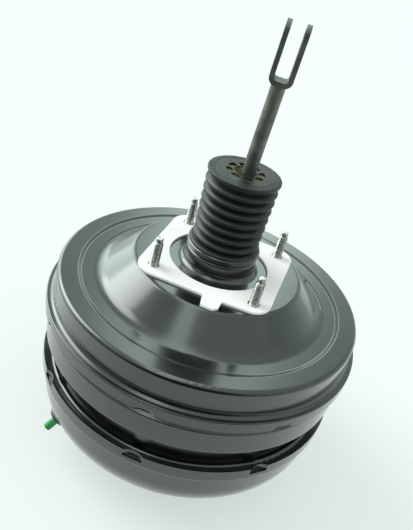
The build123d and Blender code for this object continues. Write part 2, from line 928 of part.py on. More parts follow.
def clevis_fork():
    """U strip with round ends, its base seated on the rod's end."""
    base = rod_end_z
    half = fork_gap / 2 + fork_strip
    outer = fork_bend + fork_strip
    outline = [
        (-half, base + fork_height, 0),
        (-half, base, outer),
        (half, base, outer),
        (half, base + fork_height, 0),
        (half - fork_strip, base + fork_height, 0),
        (half - fork_strip, base + fork_strip, fork_bend),
        (fork_strip - half, base + fork_strip, fork_bend),
        (fork_strip - half, base + fork_height, 0),
    ]
    side = Face(Wire(rounded_edges(outline, True)))
    strip = extrude(side, fork_width / 2, both=True, dir=(0, 1, 0))
    pin_z = base + fork_height - pin_below_tip
    tip = fork_width / 2
    front = Plane.YZ * (
        Pos(0, base + (pin_z - base) / 2) * Rectangle(fork_width, pin_z - base) + Pos(0, pin_z) * Circle(tip)
    )
    fork = strip & extrude(front, half + 1, both=True)
    fork -= Pos(0, 0, pin_z) * Rot(0, 90, 0) * Cylinder(pin_radius, 4 * half)
    return leaned(fork.rotate(Axis.Z, fork_turn))


def poppet_valve():
    """Rubber valve ring with a folded skirt and the rim that the sleeve holds."""
    face = seat_z + poppet_gap + 0.02
    rim = poppet_shoulder_z
    outer = poppet_bore_radius - 0.1
    return turned([
        (head_radius - 1.8, face),
        (outer - 1.2, face, 0.6),
        (outer - 1.2, face + 2.4),
        (outer - 2.2, face + 5.0),
        (outer - 0.6, face + 8.0),
        (outer - 0.9, rim - 3.6),
        (outer, rim - 3.4),
        (outer, rim - 0.8),
        (outer - 2.2, rim - 0.8),
        (outer - 2.2, rim - 4.2),
        (outer - 1.9, face + 8.2),
        (outer - 3.4, face + 5.0),
        (outer - 2.6, face + 2.4),
        (head_radius - 1.8, face + 2.4),
    ])


def poppet_sleeve():
    """Stepped sleeve that clamps the poppet's rim and seats both springs."""
    outer = tube_bore_radius - 0.1
    low = poppet_shoulder_z + 0.02
    return turned([
        (poppet_coil_radius + 1.4, low - 3.2),
        (poppet_bore_radius - 2.6, low - 3.2),
        (poppet_bore_radius - 2.6, low),
        (outer, low),
        (outer, low + 5.0),
        (outer - 1.2, low + 5.0),
        (outer - 1.2, low + 1.4),
        (poppet_coil_radius + 1.4, low + 1.4),
        (poppet_coil_radius - 0.9, low + 1.4),
        (poppet_coil_radius - 0.9, low),
        (poppet_coil_radius + 1.4, low),
    ])


def poppet_spring():
    low = seat_z + poppet_gap + 2.6
    high = poppet_shoulder_z - 0.1
    return coil(poppet_coil_radius, poppet_wire, low, high, poppet_turns)


def rod_return_spring():
    low = poppet_shoulder_z + 1.6
    high = rod_seat_z - 2.4
    return coil(rod_coil_radius, rod_wire, low, high, rod_turns, rod_coil_top_radius)


def air_filter():
    return ring(filter_bore_radius, tube_bore_radius - 0.1, filter_low_z, tube_end_z - 1.2)


def filter_silencer():
    return ring(filter_bore_radius, tube_bore_radius - 0.1, filter_low_z - 8.0, filter_low_z - 0.05)


def rear_plate_line():
    """Pedal side of the rear diaphragm plate, from the hub to the turned rim."""
    high = rear_plate_top_z + rear_plate_rise
    start = hub_flange_radius + 16
    width = rear_plate_radius - start
    return [
        (slide_radius + 0.1, rear_plate_top_z),
        (start - 8, rear_plate_top_z, 3),
        (start, high, 5),
        (start + ramp_start * width, high, 6),
        (start + ramp_end * width, rear_plate_low_z, 6),
        (rear_plate_radius, rear_plate_low_z, 2.6),
        (rear_plate_radius, rear_plate_low_z - rear_plate_lip),
    ]


def rear_diaphragm_plate():
    return pressed(rear_plate_line(), plate_thick)


def rear_diaphragm():
    line = offset_points(rear_plate_line(), -(rubber + seat_gap))[1:5]
    lip = line[-1][1]
    skin = pressed(
        [(hub_flange_radius + 0.3, line[0][1])] + line + [
            (rear_lip_radius, lip, 7.0),
            (rear_lip_radius, centre_flange_z + seat_gap),
        ],
        rubber,
    )
    bead = turned([
        (rear_lip_radius - 0.5, centre_flange_z + seat_gap),
        (rim_radius - sheet - 0.4, centre_flange_z + seat_gap, 0.8),
        (rim_radius - sheet - 0.4, rear_bead_z - 0.1, 1.4),
        (rear_lip_radius + 4, rear_bead_z - 0.1, 1.4),
        (rear_lip_radius + 3, centre_flange_z + 2.2),
        (rear_lip_radius - 0.5, centre_flange_z + 2.2),
    ])
    return skin + bead


def rear_plate_retainer():
    top = rear_plate_top_z - plate_thick - seat_gap
    clip = turned([
        (slide_radius + 0.05, top - 2.6),
        (slide_radius + 1.2, top - 2.6),
        (slide_radius + 2.2, top - 1.2, 0.6),
        (slide_radius + 9.0, top - 1.2),
        (slide_radius + 9.0, top),
        (slide_radius + 0.05, top),
    ])
    slit = Pos(slide_radius + 1.5, 0, top - 2) * Box(6, 1.6, 8)
    for one in around(slit, 8, 10):
        clip -= one
    return clip


def front_plate_line():
    """Pedal side of the front diaphragm plate, from the hub to the turned rim."""
    high = front_plate_top_z + front_plate_rise
    return [
        (spigot_radius + 0.1, front_plate_top_z),
        (2 * spigot_radius, front_plate_top_z, 4),
        (2 * spigot_radius + 8, high, 4),
        (front_plate_radius, high, 2.6),
        (front_plate_radius, high - front_plate_lip),
    ]


def front_diaphragm_plate():
    return pressed(front_plate_line(), plate_thick)


def front_diaphragm():
    line = offset_points(front_plate_line(), -(rubber + seat_gap))[:3]
    high = line[-1][1]
    skin = pressed(
        line + [
            (front_lip_radius, high, 6.0),
            (front_lip_radius, front_bead_z - 1.0, 2.0),
            (front_collar_radius - sheet - 5.0, front_bead_z - 1.0),
        ],
        rubber,
    )
    bead = turned([
        (front_collar_radius - sheet - 5.5, front_bead_z - 4.6, 1.2),
        (front_collar_radius - sheet - 2.4, front_bead_z - 4.6),
        (front_collar_radius - sheet - 0.4, front_bead_z - 2.8, 0.8),
        (front_collar_radius - sheet - 0.4, front_bead_z - 0.1, 0.8),
        (front_collar_radius - sheet - 5.5, front_bead_z - 0.1, 0.8),
    ])
    return skin + bead


def front_plate_retainer():
    top = front_plate_top_z - plate_thick - seat_gap
    clip = turned([
        (spigot_radius + 0.05, top - 3.4),
        (spigot_radius + 1.2, top - 3.4),
        (spigot_radius + 2.2, top - 1.4, 0.6),
        (main_coil_radius - main_wire / 2 - 1.0, top - 1.4),
        (main_coil_radius - main_wire / 2 - 1.0, top),
        (spigot_radius + 0.05, top),
    ])
    slit = Pos(spigot_radius + 1.5, 0, top - 2.5) * Box(6, 1.6, 8)
    for one in around(slit, 8, 10):
        clip -= one
    return clip


def reaction_disc():
    return turned([
        (0, reaction_z - disc_thick),
        (reaction_radius - 0.1, reaction_z - disc_thick, 0.8),
        (reaction_radius - 0.1, reaction_z - 0.02, 0.8),
        (0, reaction_z - 0.02),
    ])


def output_rod():
    head_top = reaction_z - disc_thick - 0.02
    end = screw_low_z + screw_length - 2
    rod = turned([
        (0, end),
        (2.6, end),
        (output_rod_radius - 1.2, end),
        (output_rod_radius, end + 1.2),
        (output_rod_radius, head_top - rod_head_thick, 1.5),
        (reaction_radius - 0.1, head_top - rod_head_thick, 0.6),
        (reaction_radius - 0.1, head_top, 0.6),
        (0, head_top),
    ])
    return rod - Pos(0, 0, end) * Cylinder(2.6, 12)


def output_rod_screw():
    low = screw_low_z
    return turned([
        (0, low),
        (2.6, low, 1.2),
        (4.0, low + 1.4),
        (4.0, low + screw_length - 2.2),
        (2.5, low + screw_length - 2.2),
        (2.5, low + screw_length + 3),
        (0, low + screw_length + 3),
    ])


def output_rod_retainer():
    top = spigot_z - spigot_length - 0.02
    return turned([
        (output_rod_radius + 2.0, top - 1.2),
        (spigot_radius - 0.6, top - 1.2),
        (spigot_radius - 0.6, top),
        (reaction_radius - 0.2, top),
        (reaction_radius - 0.2, top + 0.6),
        (output_rod_radius + 2.0, top + 0.6),
    ])


def main_return_spring():
    low = front_z + sheet + backing_thick + 0.1
    high = front_plate_top_z - plate_thick - seat_gap
    return coil(main_coil_radius, main_wire, low, high, main_turns)


def save(name, shape):
    solids = shape if isinstance(shape, list) else [shape]
    bodies = [solid for one in solids for solid in one.solids()]
    whole = bodies[0] if len(bodies) == 1 else Compound(children=bodies)
    export_step(whole, f"parts/{name}.step")


makers = [
    rear_shell, centre_shell, partition_plate, front_shell, firewall_gasket, firewall_studs,
    rear_backing_plate, front_backing_plate, master_cylinder_studs, neck_seal, neck_guide,
    boot_clip_ring, dust_boot, front_seal, front_seal_retainer, port_grommet, port_plug,
    partition_seal, partition_seal_retainer, rear_diaphragm, front_diaphragm, main_return_spring,
    valve_body, rear_diaphragm_plate, front_diaphragm_plate, rear_plate_retainer,
    front_plate_retainer, reaction_disc, output_rod, output_rod_screw, output_rod_retainer,
    air_filter, filter_silencer, stop_key, poppet_sleeve, poppet_spring, poppet_valve,
    air_valve_plunger, ball_bush, input_rod, clevis_fork, rod_spring_seat, rod_return_spring,
]

os.makedirs("parts", exist_ok=True)
for maker in makers:
    save(maker.__name__, maker())
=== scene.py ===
import bpy
import bmesh
import json
import math
from mathutils import Matrix, Vector, noise


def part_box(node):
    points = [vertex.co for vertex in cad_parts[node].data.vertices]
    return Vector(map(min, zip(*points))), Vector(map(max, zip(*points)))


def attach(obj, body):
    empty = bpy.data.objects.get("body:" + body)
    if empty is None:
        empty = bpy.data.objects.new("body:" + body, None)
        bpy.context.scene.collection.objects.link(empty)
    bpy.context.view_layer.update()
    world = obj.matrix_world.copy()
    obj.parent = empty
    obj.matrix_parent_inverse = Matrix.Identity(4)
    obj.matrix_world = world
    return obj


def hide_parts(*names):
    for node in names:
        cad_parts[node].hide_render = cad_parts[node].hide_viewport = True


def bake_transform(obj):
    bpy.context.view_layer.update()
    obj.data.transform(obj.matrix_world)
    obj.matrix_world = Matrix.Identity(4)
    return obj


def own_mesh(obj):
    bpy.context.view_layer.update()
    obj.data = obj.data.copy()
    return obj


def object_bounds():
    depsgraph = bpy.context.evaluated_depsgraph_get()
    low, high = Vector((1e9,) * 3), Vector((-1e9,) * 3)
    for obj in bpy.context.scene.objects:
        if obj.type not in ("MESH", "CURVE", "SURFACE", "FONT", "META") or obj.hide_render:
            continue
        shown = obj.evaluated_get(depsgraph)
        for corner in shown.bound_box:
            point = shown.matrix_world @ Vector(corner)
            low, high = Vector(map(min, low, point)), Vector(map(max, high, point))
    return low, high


# Tandem brake booster: painted steel shells, rubber boot, gasket, studs and pedal rod.
# The rigid CAD nodes keep their shape. The soft, threaded and bending pieces are made again here.
# Sizes in the dictionaries are millimetres and degrees unless a note says otherwise.
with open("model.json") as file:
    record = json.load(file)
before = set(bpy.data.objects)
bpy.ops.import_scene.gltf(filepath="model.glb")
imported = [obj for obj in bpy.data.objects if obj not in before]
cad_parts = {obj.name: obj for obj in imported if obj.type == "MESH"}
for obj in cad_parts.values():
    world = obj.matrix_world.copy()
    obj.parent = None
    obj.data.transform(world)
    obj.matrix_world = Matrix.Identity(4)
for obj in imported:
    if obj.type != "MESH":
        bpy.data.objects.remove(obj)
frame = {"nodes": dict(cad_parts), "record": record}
cadLow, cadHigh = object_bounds()
mm = 0.001
inColour = {"data_type": "RGBA"}


def linearColour(hexColour):
    # sRGB hex to the linear values that Blender's sockets take
    parts = [int(hexColour[i:i + 2], 16) / 255 for i in (1, 3, 5)]
    return tuple([p / 12.92 if p <= 0.04045 else ((p + 0.055) / 1.055) ** 2.4 for p in parts] + [1.0])


def addNode(tree, kind, settings=None, **inputs):
    # one node: its settings, then each input: a link from a node or socket, a hex colour or a value
    node = tree.nodes.new(kind)
    for name, value in (settings or {}).items():
        setattr(node, name, value)
    for name, value in inputs.items():
        key = int(name[1:]) if name[1:].isdigit() else name.replace("_", " ")
        socket = node.inputs[key]
        if isinstance(value, bpy.types.Node):
            value = next(output for output in value.outputs if output.enabled)
        if isinstance(value, bpy.types.NodeSocket):
            tree.links.new(value, socket)
        elif isinstance(value, str):
            socket.default_value = linearColour(value)
        else:
            socket.default_value = value
    return node


def newFinish(name):
    # an empty material, its tree, and the object's own coordinates for its patterns
    finish = bpy.data.materials.new(name)
    finish.use_nodes = True
    tree = finish.node_tree
    tree.nodes.clear()
    place = addNode(tree, "ShaderNodeTexCoord").outputs["Object"]
    return finish, tree, place


# Black cathodic dip paint, electrocoated and baked: glossy black, faint orange peel, a little dust
def dipPaint():
    finish, tree, place = newFinish("blackDipPaint")
    cloud = addNode(tree, "ShaderNodeTexNoise", Vector=place, Scale=1 / (34.0 * mm), Detail=2.0)
    patch = addNode(tree, "ShaderNodeMapRange", Value=cloud, From_Min=0.3, From_Max=0.7)
    black = addNode(tree, "ShaderNodeMix", inColour, n0=patch, n6="#070909", n7="#0b0e0d")
    dust = addNode(tree, "ShaderNodeTexNoise", Vector=place, Scale=1 / (1.1 * mm), Detail=2.0)
    specks = addNode(tree, "ShaderNodeMapRange", Value=dust, From_Min=0.68, From_Max=0.82, To_Max=0.15)
    tone = addNode(tree, "ShaderNodeMix", inColour, n0=specks, n6=black, n7="#6d6f70")
    gloss = addNode(
        tree, "ShaderNodeMapRange", Value=cloud, From_Min=0.3, From_Max=0.7, To_Min=0.26, To_Max=0.32,
    )
    peel = addNode(tree, "ShaderNodeTexNoise", Vector=place, Scale=1 / (2.4 * mm), Detail=2.0)
    relief = addNode(tree, "ShaderNodeBump", Height=peel, Distance=0.012 * mm, Strength=0.5)
    shader = addNode(
        tree, "ShaderNodeBsdfPrincipled", Base_Color=tone, Roughness=gloss, Normal=relief,
        IOR=1.5, Coat_Weight=1.0, Coat_Roughness=0.15,
    )
    addNode(tree, "ShaderNodeOutputMaterial", Surface=shader)
    return finish


# EPDM rubber, injection moulded: matte near black with a pale bloom
def mouldedRubber():
    finish, tree, place = newFinish("mouldedEpdmRubber")
    bloom = addNode(tree, "ShaderNodeTexNoise", Vector=place, Scale=1 / (16.0 * mm), Detail=4.0)
    patch = addNode(tree, "ShaderNodeMapRange", Value=bloom, From_Min=0.3, From_Max=0.7)
    tone = addNode(tree, "ShaderNodeMix", inColour, n0=patch, n6="#101112", n7="#1a1c1d")
    gloss = addNode(
        tree, "ShaderNodeMapRange", Value=bloom, From_Min=0.3, From_Max=0.7, To_Min=0.4, To_Max=0.52,
    )
    # the mould's spark-eroded grain is finer than 0.1 mm; it is drawn coarser so that it shows
    grain = addNode(tree, "ShaderNodeTexNoise", Vector=place, Scale=1 / (0.7 * mm), Detail=3.0)
    relief = addNode(tree, "ShaderNodeBump", Height=grain, Distance=0.08 * mm, Strength=0.6)
    shader = addNode(
        tree, "ShaderNodeBsdfPrincipled", Base_Color=tone, Roughness=gloss, Normal=relief, IOR=1.5,
    )
    addNode(tree, "ShaderNodeOutputMaterial", Surface=shader)
    return finish


# Nitrile rubber, compression moulded: plain black with a slight oily gloss
def sealRubber():
    finish, tree, place = newFinish("nitrileSealRubber")
    grain = addNode(tree, "ShaderNodeTexNoise", Vector=place, Scale=1 / (1.2 * mm), Detail=3.0)
    patch = addNode(tree, "ShaderNodeMapRange", Value=grain, From_Min=0.3, From_Max=0.7)
    tone = addNode(tree, "ShaderNodeMix", inColour, n0=patch, n6="#141414", n7="#1e1e1f")
    gloss = addNode(
        tree, "ShaderNodeMapRange", Value=grain, From_Min=0.3, From_Max=0.7, To_Min=0.4, To_Max=0.55,
    )
    relief = addNode(tree, "ShaderNodeBump", Height=grain, Distance=0.04 * mm, Strength=0.5)
    shader = addNode(
        tree, "ShaderNodeBsdfPrincipled", Base_Color=tone, Roughness=gloss, Normal=relief, IOR=1.52,
    )
    addNode(tree, "ShaderNodeOutputMaterial", Surface=shader)
    return finish


# Zinc plate with a pale passivate on cold headed steel: mottled straw and grey metal
def paleZinc():
    finish, tree, place = newFinish("passivatedZincPlate")
    mottle = addNode(
        tree, "ShaderNodeTexNoise", Vector=place, Scale=1 / (2.2 * mm), Detail=4.0, Roughness=0.6,
    )
    patch = addNode(tree, "ShaderNodeMapRange", Value=mottle, From_Min=0.3, From_Max=0.7)
    tone = addNode(tree, "ShaderNodeMix", inColour, n0=patch, n6="#77786f", n7="#dfe0da")
    grain = addNode(tree, "ShaderNodeTexNoise", Vector=place, Scale=1 / (0.5 * mm), Detail=2.0)
    gloss = addNode(
        tree, "ShaderNodeMapRange", Value=grain, From_Min=0.3, From_Max=0.7, To_Min=0.2, To_Max=0.42,
    )
    relief = addNode(tree, "ShaderNodeBump", Height=grain, Distance=0.02 * mm, Strength=0.5)
    shader = addNode(
        tree, "ShaderNodeBsdfPrincipled", Base_Color=tone, Roughness=gloss, Normal=relief, Metallic=1.0,
    )
    addNode(tree, "ShaderNodeOutputMaterial", Surface=shader)
    return finish


# Zinc phosphated and oiled steel: crystalline grey with a green cast, half matte
def phosphatedSteel():
    finish, tree, place = newFinish("zincPhosphatedSteel")
    cloud = addNode(tree, "ShaderNodeTexNoise", Vector=place, Scale=1 / (9.0 * mm), Detail=4.0)
    patch = addNode(tree, "ShaderNodeMapRange", Value=cloud, From_Min=0.3, From_Max=0.7)
    tone = addNode(tree, "ShaderNodeMix", inColour, n0=patch, n6="#5d5e58", n7="#83847c")
    # real phosphate crystals are finer than 0.1 mm; they are drawn coarser so that they show
    crystal = addNode(tree, "ShaderNodeTexVoronoi", Vector=place, Scale=1 / (0.8 * mm))
    gloss = addNode(
        tree, "ShaderNodeMapRange", Value=crystal, From_Min=0.1, From_Max=0.7, To_Min=0.42, To_Max=0.58,
    )
    relief = addNode(tree, "ShaderNodeBump", Height=crystal, Distance=0.05 * mm, Strength=0.5)
    shader = addNode(
        tree, "ShaderNodeBsdfPrincipled", Base_Color=tone, Roughness=gloss, Normal=relief, Metallic=0.85,
    )
    addNode(tree, "ShaderNodeOutputMaterial", Surface=shader)
    return finish


# Low carbon steel, pressed and oiled: even grey with fine rolling lines
def pressedSteel():
    finish, tree, place = newFinish("pressedBareSteel")
    stretched = addNode(tree, "ShaderNodeMapping", Vector=place, Scale=(1.0, 14.0, 14.0))
    lines = addNode(tree, "ShaderNodeTexNoise", Vector=stretched, Scale=1 / (9.0 * mm), Detail=3.0)
    patch = addNode(tree, "ShaderNodeMapRange", Value=lines, From_Min=0.3, From_Max=0.7)
    tone = addNode(tree, "ShaderNodeMix", inColour, n0=patch, n6="#8b8c8c", n7="#a3a4a3")
    gloss = addNode(
        tree, "ShaderNodeMapRange", Value=lines, From_Min=0.3, From_Max=0.7, To_Min=0.28, To_Max=0.42,
    )
    relief = addNode(tree, "ShaderNodeBump", Height=lines, Distance=0.02 * mm, Strength=0.4)
    shader = addNode(
        tree, "ShaderNodeBsdfPrincipled", Base_Color=tone, Roughness=gloss, Normal=relief, Metallic=1.0,
    )
    addNode(tree, "ShaderNodeOutputMaterial", Surface=shader)
    return finish


# Oil tempered spring wire, drawn: dark blue grey with a soft sheen
def springWire():
    finish, tree, place = newFinish("oilTemperedWire")
    scale = addNode(tree, "ShaderNodeTexNoise", Vector=place, Scale=1 / (2.0 * mm), Detail=3.0)
    patch = addNode(tree, "ShaderNodeMapRange", Value=scale, From_Min=0.3, From_Max=0.7)
    tone = addNode(tree, "ShaderNodeMix", inColour, n0=patch, n6="#4e5157", n7="#6c6f74")
    gloss = addNode(
        tree, "ShaderNodeMapRange", Value=scale, From_Min=0.3, From_Max=0.7, To_Min=0.3, To_Max=0.45,
    )
    relief = addNode(tree, "ShaderNodeBump", Height=scale, Distance=0.02 * mm, Strength=0.4)
    shader = addNode(
        tree, "ShaderNodeBsdfPrincipled", Base_Color=tone, Roughness=gloss, Normal=relief, Metallic=1.0,
    )
    addNode(tree, "ShaderNodeOutputMaterial", Surface=shader)
    return finish


# Compressed fibre gasket board, die cut: chalk white, matte, with short fibres pressed flat
def gasketBoard():
    finish, tree, place = newFinish("fibreGasketBoard")
    cloud = addNode(tree, "ShaderNodeTexNoise", Vector=place, Scale=1 / (20.0 * mm), Detail=2.0)
    patch = addNode(tree, "ShaderNodeMapRange", Value=cloud, From_Min=0.3, From_Max=0.7)
    tone = addNode(tree, "ShaderNodeMix", inColour, n0=patch, n6="#f7faf9", n7="#fcfefd")
    stretched = addNode(tree, "ShaderNodeMapping", Vector=place, Scale=(1.0, 3.0, 1.0))
    fibre = addNode(
        tree, "ShaderNodeTexNoise", Vector=stretched, Scale=1 / (1.5 * mm), Detail=4.0, Roughness=0.7,
    )
    gloss = addNode(
        tree, "ShaderNodeMapRange", Value=fibre, From_Min=0.3, From_Max=0.7, To_Min=0.72, To_Max=0.9,
    )
    relief = addNode(tree, "ShaderNodeBump", Height=fibre, Distance=0.06 * mm, Strength=0.6)
    shader = addNode(
        tree, "ShaderNodeBsdfPrincipled", Base_Color=tone, Roughness=gloss, Normal=relief, IOR=1.45,
    )
    addNode(tree, "ShaderNodeOutputMaterial", Surface=shader)
    return finish


# Glass filled phenolic, compression moulded: brown black with a low gloss skin
def phenolicMoulding():
    finish, tree, place = newFinish("glassFilledPhenolic")
    fleck = addNode(tree, "ShaderNodeTexNoise", Vector=place, Scale=1 / (0.9 * mm), Detail=4.0)
    patch = addNode(tree, "ShaderNodeMapRange", Value=fleck, From_Min=0.3, From_Max=0.7)
    tone = addNode(tree, "ShaderNodeMix", inColour, n0=patch, n6="#1c1714", n7="#2b2520")
    gloss = addNode(
        tree, "ShaderNodeMapRange", Value=fleck, From_Min=0.3, From_Max=0.7, To_Min=0.34, To_Max=0.5,
    )
    relief = addNode(tree, "ShaderNodeBump", Height=fleck, Distance=0.03 * mm, Strength=0.4)
    shader = addNode(
        tree, "ShaderNodeBsdfPrincipled", Base_Color=tone, Roughness=gloss, Normal=relief, IOR=1.55,
    )
    addNode(tree, "ShaderNodeOutputMaterial", Surface=shader)
    return finish


# Case hardened steel, ground: bright with fine turning marks round the axis
def groundSteel():
    finish, tree, place = newFinish("groundHardenedSteel")
    stretched = addNode(tree, "ShaderNodeMapping", Vector=place, Scale=(1.0, 1.0, 12.0))
    marks = addNode(tree, "ShaderNodeTexNoise", Vector=stretched, Scale=1 / (4.0 * mm), Detail=2.0)
    patch = addNode(tree, "ShaderNodeMapRange", Value=marks, From_Min=0.3, From_Max=0.7)
    tone = addNode(tree, "ShaderNodeMix", inColour, n0=patch, n6="#a9aaac", n7="#c1c2c3")
    gloss = addNode(
        tree, "ShaderNodeMapRange", Value=marks, From_Min=0.3, From_Max=0.7, To_Min=0.16, To_Max=0.28,
    )
    relief = addNode(tree, "ShaderNodeBump", Height=marks, Distance=0.01 * mm, Strength=0.4)
    shader = addNode(
        tree, "ShaderNodeBsdfPrincipled", Base_Color=tone, Roughness=gloss, Normal=relief, Metallic=1.0,
    )
    addNode(tree, "ShaderNodeOutputMaterial", Surface=shader)
    return finish


# Natural polyamide, injection moulded: ivory, slightly translucent, smooth
def naturalNylon():
    finish, tree, place = newFinish("naturalPolyamide")
    cloud = addNode(tree, "ShaderNodeTexNoise", Vector=place, Scale=1 / (6.0 * mm), Detail=2.0)
    patch = addNode(tree, "ShaderNodeMapRange", Value=cloud, From_Min=0.3, From_Max=0.7)
    tone = addNode(tree, "ShaderNodeMix", inColour, n0=patch, n6="#dcd7c6", n7="#e6e2d4")
    gloss = addNode(
        tree, "ShaderNodeMapRange", Value=cloud, From_Min=0.3, From_Max=0.7, To_Min=0.35, To_Max=0.48,
    )
    relief = addNode(tree, "ShaderNodeBump", Height=cloud, Distance=0.03 * mm, Strength=0.3)
    shader = addNode(
        tree, "ShaderNodeBsdfPrincipled", Base_Color=tone, Roughness=gloss, Normal=relief,
        IOR=1.53, Subsurface_Weight=0.1, Subsurface_Scale=2.0 * mm,
    )
    addNode(tree, "ShaderNodeOutputMaterial", Surface=shader)
    return finish


# Low density polyethylene, injection moulded: leaf green, waxy, with soft flow marks
def greenPolythene():
    finish, tree, place = newFinish("greenPolythene")
    flow = addNode(tree, "ShaderNodeTexNoise", Vector=place, Scale=1 / (3.0 * mm), Detail=3.0)
    patch = addNode(tree, "ShaderNodeMapRange", Value=flow, From_Min=0.3, From_Max=0.7)
    tone = addNode(tree, "ShaderNodeMix", inColour, n0=patch, n6="#12803c", n7="#1f9a4c")
    gloss = addNode(
        tree, "ShaderNodeMapRange", Value=flow, From_Min=0.3, From_Max=0.7, To_Min=0.34, To_Max=0.48,
    )
    relief = addNode(tree, "ShaderNodeBump", Height=flow, Distance=0.04 * mm, Strength=0.4)
    shader = addNode(
        tree, "ShaderNodeBsdfPrincipled", Base_Color=tone, Roughness=gloss, Normal=relief,
        IOR=1.51, Subsurface_Weight=0.15, Subsurface_Scale=1.5 * mm,
    )
    addNode(tree, "ShaderNodeOutputMaterial", Surface=shader)
    return finish


# Open cell polyether foam, cut: yellow green, deeply matte, with painted shade darkening each cell's pit
def openCellFoam():
    finish, tree, place = newFinish("openCellFoam")
    cell = addNode(tree, "ShaderNodeTexVoronoi", Vector=place, Scale=1 / (1.1 * mm))
    # painted shade: the tone darkens towards the middle of each cell, where the bump sinks its pit
    patch = addNode(tree, "ShaderNodeMapRange", Value=cell, From_Min=0.1, From_Max=0.6)
    tone = addNode(tree, "ShaderNodeMix", inColour, n0=patch, n6="#66672f", n7="#a9ab62")
    gloss = addNode(
        tree, "ShaderNodeMapRange", Value=cell, From_Min=0.1, From_Max=0.6, To_Min=0.85, To_Max=0.95,
    )
    relief = addNode(tree, "ShaderNodeBump", Height=cell, Distance=0.3 * mm, Strength=0.8)
    shader = addNode(
        tree, "ShaderNodeBsdfPrincipled", Base_Color=tone, Roughness=gloss, Normal=relief, IOR=1.4,
    )
    addNode(tree, "ShaderNodeOutputMaterial", Surface=shader)
    return finish


# Wool felt, needled: dull grey with short fibres
def needledFelt():
    finish, tree, place = newFinish("needledWoolFelt")
    fibre = addNode(
        tree, "ShaderNodeTexNoise", Vector=place, Scale=1 / (0.6 * mm), Detail=5.0, Roughness=0.7,
    )
    patch = addNode(tree, "ShaderNodeMapRange", Value=fibre, From_Min=0.3, From_Max=0.7)
    tone = addNode(tree, "ShaderNodeMix", inColour, n0=patch, n6="#76746b", n7="#97958b")
    gloss = addNode(
        tree, "ShaderNodeMapRange", Value=fibre, From_Min=0.3, From_Max=0.7, To_Min=0.85, To_Max=0.95,
    )
    relief = addNode(tree, "ShaderNodeBump", Height=fibre, Distance=0.2 * mm, Strength=0.7)
    shader = addNode(
        tree, "ShaderNodeBsdfPrincipled", Base_Color=tone, Roughness=gloss, Normal=relief,
        IOR=1.4, Sheen_Weight=0.3,
    )
    addNode(tree, "ShaderNodeOutputMaterial", Surface=shader)
    return finish


finishes = {
    "black_paint": dipPaint(),
    "bare_steel": pressedSteel(),
    "zinc_plate": paleZinc(),
    "phosphated_steel": phosphatedSteel(),
    "spring_steel": springWire(),
    "boot_rubber": mouldedRubber(),
    "seal_rubber": sealRubber(),
    "gasket_board": gasketBoard(),
    "phenolic": phenolicMoulding(),
    "plunger_steel": groundSteel(),
    "white_nylon": naturalNylon(),
    "filter_foam": openCellFoam(),
    "filter_felt": needledFelt(),
    "green_plastic": greenPolythene(),
}


def paintNodes():
    # each CAD node takes the finish of its slot in the record
    slotOf = {part["node"]: part["material_slot"] for part in frame["record"]["subparts"]}
    for name, piece in frame["nodes"].items():
        piece.data.materials.clear()
        piece.data.materials.append(finishes[slotOf[name]])


paintNodes()
print("finishes done")


def meshPiece(name, mesh, slotName, body=None):
    # a smooth shaded piece with its slot's finish
    piece = bpy.data.objects.new(name, mesh)
    bpy.context.scene.collection.objects.link(piece)
    mesh.materials.clear()
    mesh.materials.append(finishes[slotName])
    mesh.shade_smooth()
    if body:
        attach(piece, body)
    return piece


def latheMesh(name, outline, around):
    # a closed (r, z) outline in millimetres turned round Z; points on the axis are merged
    form = bmesh.new()
    rings = []
    for k in range(around):
        angle = 2 * math.pi * k / around
        across = math.cos(angle) * mm
        along = math.sin(angle) * mm
        rings.append([form.verts.new((r * across, r * along, z * mm)) for r, z in outline])
    count = len(outline)
    for k in range(around):
        here = rings[k]
        after = rings[(k + 1) % around]
        for i in range(count):
            j = (i + 1) % count
            form.faces.new((here[i], after[i], after[j], here[j]))
    bmesh.ops.remove_doubles(form, verts=form.verts, dist=1e-7)
    bmesh.ops.recalc_face_normals(form, faces=form.faces)
    mesh = bpy.data.meshes.new(name)
    form.to_mesh(mesh)
    form.free()
    return mesh


def roundedOutline(points, steps=5):
    # (r, z, round) corners to a fine outline: each corner with a round becomes an arc of steps parts
    fine = []
    count = len(points)
    for i, point in enumerate(points):
        here = Vector(point[:2])
        size = point[2] if len(point) > 2 else 0
        if not size:
            fine.append(tuple(here))
            continue
        before = Vector(points[i - 1][:2]) - here
        after = Vector(points[(i + 1) % count][:2]) - here
        half = before.angle(after) / 2
        reach = min(size / math.tan(half), before.length * 0.49, after.length * 0.49)
        start = here + before.normalized() * reach
        end = here + after.normalized() * reach
        for s in range(steps + 1):
            t = s / steps
            fine.append(tuple(start * (1 - t) ** 2 + here * 2 * t * (1 - t) + end * t ** 2))
    return fine


boot = {
    "topZ": 85.4,
    "discRadius": 30.6,
    "discThick": 4.4,
    "ventThick": 1.5,
    "holeRadius": 9.3,
    "ringRadius": 25.0,  # fine groove in the disc's face
    "stepRadius": 17.4,  # where the face drops towards the vents
    "hubInner": 21.4,  # collar under the disc, round the filter
    "hubOuter": 23.0,
    "hubDeep": 4.4,
    "folds": 7,
    "roundness": 0.55,  # under 1 the crests are full and the valleys narrow
    "firstCrest": 74.0,
    "pitch": 8.1,
    "crestRadius": 30.2,
    "taper": 0.25,
    "foldDepth": 4.9,
    "wall": 1.1,
    "collarRadius": 30.6,
    "collarInner": 29.3,
    "collarLow": 12.9,
    "collarHigh": 19.4,
    "neckTop": 21.35,
    "ventInner": 10.9,
    "ventOuter": 16.0,
    "ventCount": 8,
    "ventTurn": 30.0,
    "ventRound": 1.0,
    "edgeRound": 0.25,  # softened edges of the windows
    "blendLow": 21.5,  # under this height the boot stays with the housing
    "blendHigh": 78.5,  # above it the boot goes with the piston
    "steps": 10,
    "around": 192,
}


